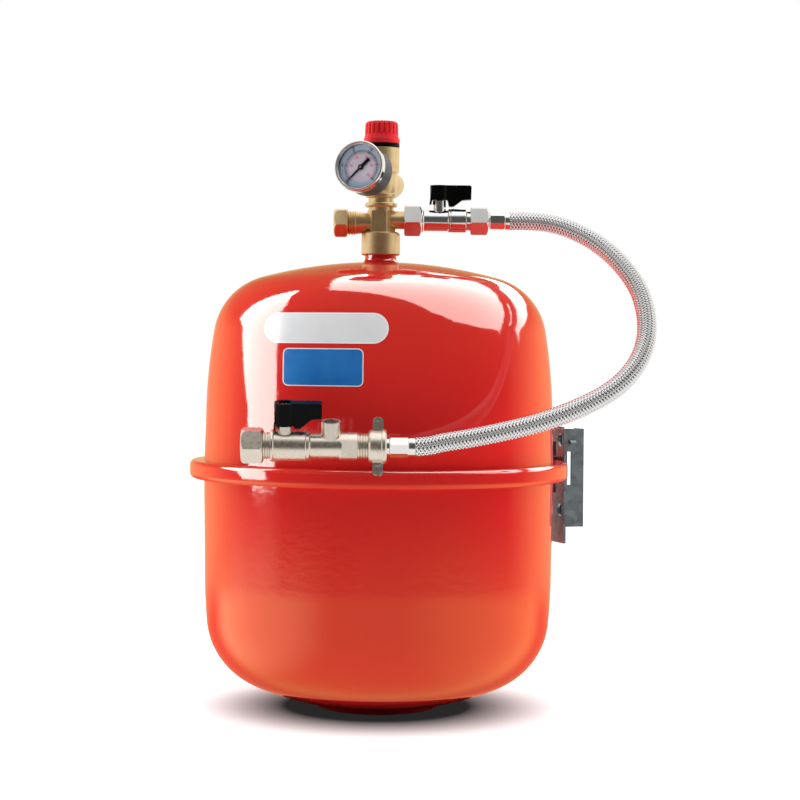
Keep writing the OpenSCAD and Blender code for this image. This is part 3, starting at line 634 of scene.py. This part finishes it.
def labels():
    """A blank pill and a plain blue panel, each a white film with a printed field on it."""
    # heights over the paint of the film and of the field on it
    base, face = (0.00002, 0.00028), (0.00028, 0.00036)
    low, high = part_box("label_pill")
    centre = ((low.x + high.x) / 2, (low.z + high.z) / 2)
    half_w, half_h = (high.x - low.x) / 2, (high.z - low.z) / 2
    border = 0.0011
    rim = patch(centre, half_w, pill_height(half_w, half_h), *base, 0)
    field = patch(centre, half_w - border, pill_height(half_w - border, half_h - border), *face, 1)
    greyer = film_finish("pale_grey_film", (0.74, 0.75, 0.76), (0.68, 0.69, 0.71))
    materials = [finishes["white_print"], greyer]
    piece("pill_film", [rim, field], "vessel", materials, ("label_pill",))

    low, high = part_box("label_panel")
    centre = ((low.x + high.x) / 2, (low.z + high.z) / 2)
    half_w, half_h = (high.x - low.x) / 2, (high.z - low.z) / 2
    corner = 0.004
    border = 0.0007
    rim = patch(centre, half_w, box_height(half_w, half_h, corner), *base, 0)
    inner = box_height(half_w - border, half_h - border, corner - border)
    field = patch(centre, half_w - border, inner, *face, 1)
    materials = [finishes["white_print"], finishes["blue_print"]]
    piece("panel_film", [rim, field], "vessel", materials, ("label_panel",))


labels()

# ---------------------------------------------------------------- gauge

GAUGE = Matrix.Translation((-0.0174, -0.045, 0.4116)) @ (
    Matrix.Rotation(math.radians(-20), 4, "Z") @ Matrix.Rotation(math.radians(82.5), 4, "X")
)
GAUGE_R = 0.0186
SCALE_START, SCALE_SWEEP = 225, 270


def box_between(a, b, width, low, high, number):
    """Bar from a to b in the dial's plane, between two heights."""
    a, b = Vector((*a, 0)), Vector((*b, 0))
    side = (b - a).normalized().cross(Vector((0, 0, 1))) * width / 2
    ring = [a - side, b - side, b + side, a + side]
    rings = [[GAUGE @ (p + Vector((0, 0, z))) for p in ring] for z in (low, high)]
    return skin(rings, number=number)


def arc_line(radius, width, low, high, number):
    """Raised line along the whole sweep of the scale."""
    near, far = radius - width / 2, radius + width / 2
    steps = 96
    rings = []
    for i in range(steps + 1):
        a = math.radians(SCALE_START - SCALE_SWEEP * i / steps)
        ring = []
        for r, z in ((near, low), (far, low), (far, high), (near, high)):
            ring.append(GAUGE @ Vector((r * math.cos(a), r * math.sin(a), z)))
        rings.append(ring)
    return skin(rings, number=number)


def numeral(text, size, radius, degrees, height, number):
    """A figure on the dial, upright, centred at a polar place."""
    curve = bpy.data.curves.new("numeral", "FONT")
    curve.body, curve.size = text, size
    curve.align_x, curve.align_y = "CENTER", "CENTER"
    curve.extrude = 0.00002
    curve.offset = 0.03 * size
    curve.resolution_u = 4
    carrier = bpy.data.objects.new("numeral", curve)
    mesh = bpy.data.meshes.new_from_object(carrier)
    a = math.radians(degrees)
    shift = Vector((radius * math.cos(a), radius * math.sin(a), height))
    verts = [GAUGE @ (v.co + shift) for v in mesh.vertices]
    faces = [tuple(p.vertices) for p in mesh.polygons]
    bpy.data.objects.remove(carrier)
    bpy.data.meshes.remove(mesh)
    bpy.data.curves.remove(curve)
    return verts, faces, number


def dial_face():
    """Dial with a pale inner zone, a black scale from 0 to 5 and a red one from 0 to 50."""
    back, top = -7.5 * MM, -6.8 * MM
    zone_top, print_top = top + 0.03 * MM, top + 0.07 * MM
    hole, zone_r, rim = 1.1 * MM, 11.3 * MM, GAUGE_R - 1.05 * MM
    black_r, red_r = 13.6 * MM, 11.1 * MM
    outline = [(hole, back), (rim, back), (rim, top), (hole, top)]
    parts = [lathe(outline, GAUGE, 128, 0)]

    def scale(steps, outer, lengths, widths, number):
        for i in range(steps + 1):
            a = math.radians(SCALE_START - SCALE_SWEEP * i / steps)
            # every tenth mark is the longest, every fifth the next
            kind = 0 if i % 10 == 0 else 1 if i % 5 == 0 else 2
            inner = outer - lengths[kind]
            ends = [(r * math.cos(a), r * math.sin(a)) for r in (inner, outer)]
            parts.append(box_between(*ends, widths[kind], top, print_top, number))

    zone = [(hole, top), (zone_r, top), (zone_r, zone_top), (hole, zone_top)]
    parts.append(lathe(zone, GAUGE, 96, 3))
    scale(50, black_r, (2.2 * MM, 1.9 * MM, 1.7 * MM), (0.85 * MM, 0.65 * MM, 0.55 * MM), 1)
    scale(30, red_r, (1.2 * MM, 1.1 * MM, 0.9 * MM), (0.40 * MM, 0.36 * MM, 0.30 * MM), 2)
    parts.append(arc_line(red_r, 0.18 * MM, top, print_top, 2))
    for times, size, radius, number in ((1, 4.2 * MM, 15.5 * MM, 1), (10, 2.6 * MM, 8.4 * MM, 2)):
        for i in range(6):
            angle = SCALE_START - SCALE_SWEEP * i / 5
            parts.append(numeral(str(times * i), size, radius, angle, zone_top, number))
    materials = [finishes["dial"], ink_black, ink_red, dial_centre]
    piece("printed_dial", parts, "vessel", materials, ("gauge_dial",))


def gauge_bezel():
    """Rolled chrome bezel with a soft outer lip and a bevel down to the window."""
    r = GAUGE_R / MM
    outline = [
        (r + 0.05, -6.5), (r + 0.9, -6.1), (r + 0.9, -1.1), (r + 0.2, 0), (r - 1.2, 0), (r - 1.8, -1.3),
        (r - 1.8, -2.2), (r + 0.05, -2.2),
    ]
    radii = [0.1, 0.5, 0.5, 0.7, 0.35, 0.2, 0.05, 0.05]
    shape = rounded(millimetres(outline), [k * MM for k in radii], 4)
    ring = [lathe(shape, GAUGE, 144)]
    piece("rolled_bezel", ring, "vessel", [finishes["chrome"]], ("gauge_bezel",))


def needle():
    """Slim pointer with a broad tail and a brass hub pin."""
    low, high = -6.0 * MM, -5.2 * MM
    tail = [
        (-8.9, 1.1), (-8.4, 1.4), (-2.0, 1.2), (-1.6, 0.9), (0.0, 0.9), (13.2, 0.30), (13.8, 0.0),
    ]
    outline = tail + [(x, -y) for x, y in reversed(tail[:-1])]
    turn = GAUGE @ Matrix.Rotation(math.radians(SCALE_START), 4, "Z")
    blade = [[turn @ Vector((x * MM, y * MM, z)) for x, y in outline] for z in (low, high)]
    hub = rounded(millimetres([(0.01, -6.6), (2.1, -6.6), (2.1, -4.5), (0.01, -4.5)]), 0.35 * MM)
    pin = rounded(millimetres([(0.01, -12.0), (0.75, -12.0), (0.75, -4.1), (0.01, -4.1)]), 0.25 * MM)
    parts = [skin(blade, number=0), lathe(hub, turn, 48, 0), lathe(pin, turn, 32, 1)]
    materials = [finishes["black_plastic"], finishes["brass"]]
    piece("pointer", parts, "needle", materials, ("gauge_needle",))


dial_face()
gauge_bezel()
needle()

# ---------------------------------------------------------------- safety valve cap

def polar_rings(heights, radius_at, columns):
    """Rings at given heights; radius_at(angle, index) gives the radius of the ring of that index."""
    rings = []
    for index, z in enumerate(heights):
        ring = []
        for k in range(columns):
            a = 2 * math.pi * k / columns
            r = radius_at(a, index)
            ring.append(Vector((r * math.cos(a), r * math.sin(a), z)))
        rings.append(ring)
    return rings


def cap():
    """Moulded cap: a plain skirt, wide ribs with narrow grooves between them, and a shallow dished top."""
    low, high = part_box("safety_cap")
    base, tall = low.z, (high.z - low.z) / MM
    flutes, per_flute = 20, 16
    corner = 3.0
    # height above the base, outer radius and depth of the grooves there, all in mm
    levels = [
        (0.0, 13.5, 0), (0.15, 13.8, 0), (0.5, 13.9, 0), (3.2, 13.9, 0), (3.7, 13.7, 0), (5.8, 12.95, 0),
        (6.6, 12.85, 0.1), (7.0, 12.8, 0.6), (7.5, 12.75, 1.05), (9.0, 12.7, 1.15), (11.5, 12.65, 1.15),
    ]
    for i in range(1, 8):
        a = math.radians(12 * i)
        rise, reach = corner * (math.sin(a) - 1), corner * (math.cos(a) - 1)
        levels.append((tall + rise, 12.6 + reach, 1.15 - 0.14 * i))
    levels += [(tall, 9.4, 0.05), (tall, 8.8, 0), (tall - 0.5, 8.2, 0)]
    levels += [(tall - 0.6, 4.0, 0), (tall - 0.6, 0.01, 0)]
    groove_share = 0.15

    def radius_at(a, index):
        r, depth = levels[index][1], levels[index][2]
        place = (a * flutes / (2 * math.pi)) % 1.0
        gap = abs(place - 0.5) / groove_share
        groove = depth * (1 - gap**2) if gap < 1 else 0.0
        crown = 0.10 * depth * math.cos(2 * math.pi * place)
        return (r - groove + crown) * MM

    outer = polar_rings([base + z * MM for z, _, _ in levels], radius_at, flutes * per_flute)
    inner_levels = [(tall - 2.2, 0.01), (tall - 2.2, 11.2), (0.0, 11.2)]
    inner = polar_rings([base + z * MM for z, _ in inner_levels],
                        lambda a, index: inner_levels[index][1] * MM, flutes * per_flute)
    piece("fluted_cap", [skin(inner + outer, closed=True)], "safety_cap",
          [finishes["red_plastic"]], ("safety_cap",), math.radians(40), 2e-6)


cap()

# ---------------------------------------------------------------- carried-over CAD nodes

BRIGHT = {"right_union_nut", "upper_valve_body", "upper_valve_end", "hose_swivel_nut", "hose_tail_upper",
          "hose_ferrule_upper", "hose_ferrule_lower", "hose_tail_lower"}
SOFTENED = {
    "manifold_body": 0.35, "left_nut": 0.3, "right_union_nut": 0.3, "upper_valve_body": 0.25,
    "upper_valve_end": 0.25, "hose_swivel_nut": 0.3, "hose_ferrule_upper": 0.2, "hose_ferrule_lower": 0.2,
    "wing_nut": 0.5, "lower_valve_body": 0.3, "lower_nut": 0.35, "upper_lever": 0.5, "lower_lever": 0.5,
    "safety_body": 0.35, "gauge_case": 0.3, "gauge_stem": 0.3, "wall_bracket": 0.25, "safety_collar": 0.2,
    "upper_lever_screw": 0.2, "lower_lever_screw": 0.2, "air_valve_cap": 0.3, "air_valve_stem": 0.2,
}


def soften(obj, width):
    """Small rounded edges on a machined or moulded piece."""
    weld = obj.modifiers.new("weld", "WELD")
    weld.merge_threshold = 0.002 * MM
    bevel = obj.modifiers.new("edges", "BEVEL")
    bevel.width = width * MM
    bevel.segments = 2
    bevel.limit_method = "ANGLE"
    bevel.angle_limit = math.radians(28)
    bevel.miter_outer = "MITER_ARC"
    normals = obj.modifiers.new("normals", "WEIGHTED_NORMAL")
    normals.keep_sharp = False
    normals.weight = 80


def safety_coil():
    """The safety valve's spring as a wire coil, riding on the spindle."""
    low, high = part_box("safety_spring")
    wire_r, coil_r, coils, per_coil, sides = 1.0 * MM, 6.0 * MM, 5, 32, 12
    count = coils * per_coil
    rise = high[2] - low[2] - 2 * wire_r
    path = []
    for i in range(count + 1):
        a = 2 * math.pi * i / per_coil
        height = low[2] + wire_r + rise * i / count
        path.append(Vector((coil_r * math.cos(a), coil_r * math.sin(a), height)))
    turns = [2 * math.pi * k / sides for k in range(sides)]
    rings = []
    for point, (u, v) in zip(path, carried_frames(path)):
        rings.append([point + (u * math.cos(a) + v * math.sin(a)) * wire_r for a in turns])
    slot = slots["safety_spring"]
    coil = piece("safety_coil", [skin(rings)], "safety_lift", [finishes[slot]], ("safety_spring",))
    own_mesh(coil)


slots = {part["node"]: part["material_slot"] for part in frame["record"]["subparts"]}
safety_coil()
for name, obj in nodes.items():
    slot = "chrome" if name in BRIGHT else slots[name]
    for holder in obj.material_slots:
        holder.material = finishes[slot]
    if name in SOFTENED:
        soften(obj, SOFTENED[name])

# ---------------------------------------------------------------- room and light

FLOOR_TOP = -0.0001
PAINT_ROOM_R, METAL_ROOM_R = 8.0, 7.5
PANEL_LIGHT = (1.0, 0.99, 0.93)


def floor():
    """White floor with a painted contact shadow: dark in colour and barely glowing where the vessel stands,
    glowing white further out.
    """
    size, depth = 6.0, 0.02
    painted_shadow_r, painted_shadow_edge_r, floor_glow = 0.07, 0.14, 0.75
    corners = [(-size, -size), (size, -size), (size, size), (-size, size)]
    rings = [[Vector((x, y, z)) for x, y in corners] for z in (-depth, FLOOR_TOP)]
    verts, faces, _ = skin(rings)
    mesh = bpy.data.meshes.new("floor")
    mesh.from_pydata([tuple(v) for v in verts], [], faces)
    f = Finish("studio_floor", (0.60, 0.60, 0.60), roughness=0.6, Specular_IOR_Level=0.1)
    pale = f.blend(f.spread(f.noise(3.0, 2.0), 0.0, 1.0), (0.60, 0.60, 0.60), (0.59, 0.59, 0.595))
    distance = f.node("ShaderNodeVectorMath", operation="LENGTH")
    f.set(distance, 0, f.place)
    away = distance.outputs["Value"]
    # painted contact shadow: the floor's colour goes dark towards the spot under the vessel
    f.colour(f.blend(f.spread(away, 0.0, 1.0, painted_shadow_r, painted_shadow_edge_r), (0.03, 0.045, 0.05), pale))
    f.set(f.shader, "Emission Color", (1.0, 1.0, 1.0, 1.0))
    # painted light: the floor glows white away from the vessel and barely glows inside its painted shadow
    f.set(f.shader, "Emission Strength", f.spread(away, 0.02, floor_glow, painted_shadow_r, painted_shadow_edge_r))
    mesh.materials.append(f.material)
    made = bpy.data.objects.new("floor", mesh)
    made.visible_glossy = False
    scene.collection.objects.link(made)


def group(name, members):
    """Collection that lights and panels can be linked to."""
    made = bpy.data.collections.new(name)
    for member in members:
        made.objects.link(member)
    return made


def softbox(name, place, size, power, receivers):
    """Lamp aimed at the vessel that leaves no mark in reflections."""
    data = bpy.data.lights.new(name, "AREA")
    data.shape = "RECTANGLE"
    data.size, data.size_y = size
    data.energy = power
    made = bpy.data.objects.new(name, data)
    facing = (Vector((0, 0, 0.22)) - Vector(place)).to_track_quat("-Z", "Y")
    made.matrix_world = Matrix.Translation(place) @ facing.to_matrix().to_4x4()
    made.visible_camera = False
    made.visible_glossy = False
    made.light_linking.receiver_collection = receivers
    scene.collection.objects.link(made)


class Glow:
    """Light whose colour and strength depend on its direction: x, y and z of a unit vector."""

    def __init__(self, tree, source, coordinates):
        self.tree, self.source = tree, source
        tree.nodes.clear()
        place = self.node("ShaderNodeTexCoord").outputs[coordinates]
        unit = self.node("ShaderNodeVectorMath", operation="NORMALIZE")
        self.link(place, unit.inputs[0])
        parts = self.node("ShaderNodeSeparateXYZ")
        self.link(unit.outputs["Vector"], parts.inputs["Vector"])
        self.x, self.y, self.z = (parts.outputs[axis] for axis in "XYZ")

    def node(self, kind, **properties):
        made = self.tree.nodes.new(kind)
        for key, value in properties.items():
            setattr(made, key, value)
        return made

    def link(self, value, target):
        self.tree.links.new(value, target)

    def ramp(self, value, start, end, low=0.0, high=1.0):
        remap = self.node("ShaderNodeMapRange", interpolation_type="SMOOTHSTEP")
        for socket, number in (("From Min", start), ("From Max", end), ("To Min", low), ("To Max", high)):
            remap.inputs[socket].default_value = number
        self.link(value, remap.inputs["Value"])
        return remap.outputs["Result"]

    def light(self, colour, strength):
        made = self.node(self.source)
        made.inputs["Color"].default_value = (*colour, 1.0)
        if isinstance(strength, bpy.types.NodeSocket):
            self.link(strength, made.inputs["Strength"])
        else:
            made.inputs["Strength"].default_value = strength
        return made.outputs[0]

    def switch(self, amount, first, second):
        made = self.node("ShaderNodeMixShader")
        self.link(amount, made.inputs["Fac"])
        self.link(first, made.inputs[1])
        self.link(second, made.inputs[2])
        return made.outputs["Shader"]


def reflected_only(name, mesh, receivers):
    """Adds a lit mesh that only shows in the reflections of a group of pieces."""
    made = bpy.data.objects.new(name, mesh)
    made.visible_camera = False
    made.visible_diffuse = False
    made.visible_shadow = False
    made.visible_transmission = False
    made.light_linking.receiver_collection = receivers
    scene.collection.objects.link(made)


def see_through(glow, light):
    """Ends a glow's nodes: its light, with whatever lies behind it."""
    clear = glow.node("ShaderNodeBsdfTransparent")
    both = glow.node("ShaderNodeAddShader")
    glow.link(light, both.inputs[0])
    glow.link(clear.outputs["BSDF"], both.inputs[1])
    out = glow.node("ShaderNodeOutputMaterial")
    glow.link(both.outputs["Shader"], out.inputs["Surface"])


def lit_material(name):
    material = bpy.data.materials.new(name)
    material.use_nodes = True
    return material, Glow(material.node_tree, "ShaderNodeEmission", "Object")


def panel(name, outline, strength, receivers):
    """Bright flat panel, seen in reflections, and dim in reflections of reflections."""
    mesh = bpy.data.meshes.new(name)
    mesh.from_pydata(outline, [], [tuple(range(len(outline)))])
    material, glow = lit_material(name)
    bounces = glow.node("ShaderNodeLightPath").outputs["Ray Depth"]
    see_through(glow, glow.light(PANEL_LIGHT, glow.ramp(bounces, 1.2, 1.8, strength, 0.1 * strength)))
    mesh.materials.append(material)
    reflected_only(name, mesh, receivers)


def foot_shade():
    """Dark disc under the vessel, standing for the shaded floor in reflections of the foot."""
    mesh = bpy.data.meshes.new("foot_shade")
    reach, count = 0.075, 60
    turns = [2 * math.pi * i / count for i in range(count)]
    ring = [(reach * math.cos(a), reach * math.sin(a), FLOOR_TOP) for a in turns]
    mesh.from_pydata(ring, [], [tuple(range(count))])
    shade = bpy.data.materials.new("foot_shade")
    shade.use_nodes = True
    surface = shade.node_tree.nodes["Principled BSDF"]
    surface.inputs["Base Color"].default_value = (0.01, 0.01, 0.01, 1.0)
    surface.inputs["Specular IOR Level"].default_value = 0.0
    mesh.materials.append(shade)
    reflected_only("foot_shade", mesh, everything)


def dome(name, radius, receivers, surroundings):
    """Sphere round the whole studio, giving one group of pieces its reflected surroundings."""
    work = bmesh.new()
    bmesh.ops.create_uvsphere(work, u_segments=48, v_segments=24, radius=radius)
    mesh = bpy.data.meshes.new(name)
    work.to_mesh(mesh)
    work.free()
    material, glow = lit_material(name)
    see_through(glow, surroundings(glow))
    material.cycles.emission_sampling = "NONE"
    mesh.materials.append(material)
    reflected_only(name, mesh, receivers)


def paint_surroundings(glow):
    """What the paint reflects: dim in front, orange at the sides, behind and from the floor."""
    dim = glow.light((1.0, 0.85, 0.75), 0.05)
    beside = glow.light((1.0, 0.66, 0.25), 1.5)
    behind = glow.light((1.0, 0.70, 0.35), 0.85)
    lower_left = glow.light((1.0, 0.78, 0.50), 3.0)
    above = glow.light((1.0, 0.68, 0.28), 0.42)
    sky = glow.light((1.0, 0.68, 0.28), 0.55)
    ground = glow.light((1.0, 0.64, 0.20), glow.ramp(glow.x, 0.2, 0.9, 1.4, 2.5))
    ground = glow.switch(glow.ramp(glow.x, -0.45, -0.95), ground, glow.light((1.0, 0.72, 0.33), 3.7))
    ground = glow.switch(glow.ramp(glow.y, 0.45, 0.80), ground, glow.light((1.0, 0.30, 0.14), 0.9))
    around = glow.switch(glow.ramp(glow.y, -0.05, 0.55), dim, beside)
    around = glow.switch(glow.ramp(glow.y, 0.70, 0.95), around, behind)
    left = glow.switch(glow.ramp(glow.z, -0.05, -0.17), around, lower_left)
    around = glow.switch(glow.ramp(glow.x, -0.88, -0.98), around, left)
    around = glow.switch(glow.ramp(glow.z, 0.05, 0.40), around, above)
    high = glow.switch(glow.ramp(glow.z, 0.70, 0.95), around, sky)
    return glow.switch(glow.ramp(glow.z, -0.08, -0.17), high, ground)


def metal_surroundings(glow):
    """What the fittings reflect: white above, below and beside them, and dim in front."""
    around = glow.light((1.0, 0.97, 0.92), glow.ramp(glow.y, -0.85, -0.20, 0.09, 1.0))
    sky = glow.light((1.0, 1.0, 1.0), 1.2)
    ground = glow.light((1.0, 0.99, 0.98), 0.95)
    high = glow.switch(glow.ramp(glow.z, 0.62, 0.92), around, sky)
    return glow.switch(glow.ramp(glow.z, -0.20, -0.50), high, ground)


def studio_world():
    """White backdrop, and light from overhead that reflections don't show."""
    world = bpy.data.worlds.new("studio")
    world.use_nodes = True
    glow = Glow(world.node_tree, "ShaderNodeBackground", "Generated")
    rays = glow.node("ShaderNodeLightPath")
    backdrop = glow.light((1.0, 1.0, 1.0), 1.0)
    overhead = glow.light((1.0, 1.0, 1.0), glow.ramp(glow.z, 0.50, 0.90, 0.10, 2.1))
    unseen = glow.switch(rays.outputs["Is Glossy Ray"], overhead, glow.light((1.0, 1.0, 1.0), 0.0))
    out = glow.node("ShaderNodeOutputWorld")
    glow.link(glow.switch(rays.outputs["Is Camera Ray"], unseen, backdrop), out.inputs["Surface"])
    scene.world = world


painted, fittings = [], []
for item in scene.objects:
    if item.type == "MESH":
        surfaces = {holder.material for holder in item.material_slots}
        shell_like = finishes["red_paint"] in surfaces or item.name.endswith("_film")
        (painted if shell_like else fittings).append(item)
everything = group("everything", painted + fittings)
painted, fittings = group("painted", painted), group("fittings", fittings)

floor()
studio_world()
softbox("left_bank", (-1.25, 0.35, 0.35), (0.8, 1.1), 21, everything)
softbox("right_bank", (1.25, 0.40, 0.35), (0.8, 1.1), 21, everything)
foot_shade()
dome("paint_room", PAINT_ROOM_R, painted, paint_surroundings)
dome("metal_room", METAL_ROOM_R, fittings, metal_surroundings)
# bright panels: one plane overhead (outlines in x and y), one on the left (outline in y and z)
OVERHEAD, BESIDE = 1.21, -1.0
overhead_outline = [
    (-0.33, 0.04), (0.17, -0.36), (0.67, -0.76), (1.5, -1.05), (2.7, -0.85), (3.9, 0.0), (2.2, 0.3),
    (1.0, 0.62), (0.5, 1.0), (0.25, 2.0), (0.05, 1.9), (-0.1, 1.1),
]
corner_outline = [(0.35, 2.8), (0.76, 1.16), (1.26, 0.75), (2.9, 0.6), (5.3, 1.8), (1.7, 1.95), (1.07, 2.4)]
tall_outline = [
    (-0.12, 0.09), (-0.45, 0.09), (-0.42, 0.36), (-0.1, 1.2), (0.6, 2.1), (0.44, 0.65),
    (0.07, 0.32),
]
panel("overhead_panel", [(x, y, OVERHEAD) for x, y in overhead_outline], 10.0, painted)
panel("corner_panel", [(x, y, OVERHEAD) for x, y in corner_outline], 8.0, painted)
panel("tall_panel", [(BESIDE, y, z) for y, z in tall_outline], 16.0, painted)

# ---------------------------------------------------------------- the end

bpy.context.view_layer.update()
